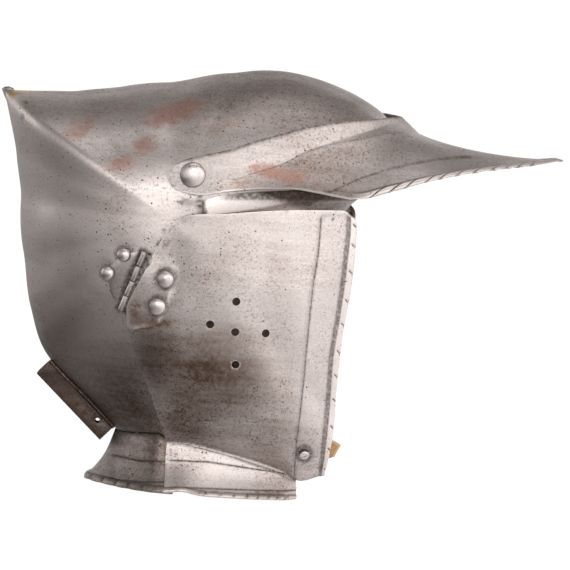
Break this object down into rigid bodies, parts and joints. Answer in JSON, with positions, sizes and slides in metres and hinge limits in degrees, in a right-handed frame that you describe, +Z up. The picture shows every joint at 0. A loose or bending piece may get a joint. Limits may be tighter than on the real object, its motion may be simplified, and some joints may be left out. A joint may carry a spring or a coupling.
{
  "type": "burgonet helmet",
  "caption": "Open-faced steel helmet with a pointed, keeled skull, a pivoted peak, hinged cheekpieces with a throat collar, and a plume socket on the nape.",
  "frame": {"origin": "under the middle of the helmet's box, on the surface it rests on", "axes": "+X to the front, where the peak points; +Y to the wearer's left; +Z up"},
  "size_m": [0.3944, 0.2044, 0.2964],
  "materials": {
    "skull_steel": "worn satin steel with pits and thin rust",
    "peak_steel": "worn satin steel with a roped edge",
    "cheek_steel": "satin steel with fine horizontal scratches and brown stains",
    "hinge_steel": "worn steel, rusty in the joints",
    "rivet_steel": "rubbed bright domes with dark rims",
    "holder_steel": "dark rusted steel",
    "strap_leather": "dry tan leather, torn"
  },
  "bodies": {
    "skull": {"skull": "skull_steel", "brow_band": "skull_steel", "peak_pivot_right": "rivet_steel", "peak_pivot_left": "rivet_steel", "hinge_skull_right": "hinge_steel", "hinge_skull_left": "hinge_steel", "hinge_pin_right": "hinge_steel", "hinge_pin_left": "hinge_steel", "skull_rivet_upper_right": "rivet_steel", "skull_rivet_lower_right": "rivet_steel", "skull_rivet_upper_left": "rivet_steel", "skull_rivet_lower_left": "rivet_steel", "plume_holder": "holder_steel"},
    "peak": {"peak": "peak_steel"},
    "cheek_right": {"cheek_right": "cheek_steel", "hinge_cheek_right": "hinge_steel", "cheek_rivet_upper_right": "rivet_steel", "cheek_rivet_lower_right": "rivet_steel", "chin_rivet_right": "rivet_steel", "strap_stub": "strap_leather"},
    "cheek_left": {"cheek_left": "cheek_steel", "hinge_cheek_left": "hinge_steel", "cheek_rivet_upper_left": "rivet_steel", "cheek_rivet_lower_left": "rivet_steel", "chin_rivet_left": "rivet_steel"}
  },
  "joints": [
    {"name": "peak_lift", "type": "hinge", "parent": "skull", "child": "peak", "pos_m": [-0.0597, 0, 0.2246], "axis": [0, -1, 0], "range_deg": [0, 60]},
    {"name": "cheek_right_swing", "type": "hinge", "parent": "skull", "child": "cheek_right", "pos_m": [-0.0946, -0.0943, 0.1477], "axis": [-0.2942, 0.1874, -0.9372], "range_deg": [0, 100]},
    {"name": "cheek_left_swing", "type": "hinge", "parent": "skull", "child": "cheek_left", "pos_m": [-0.0946, 0.0943, 0.1477], "axis": [0.2942, 0.1874, 0.9372], "range_deg": [0, 100]}
  ]
}
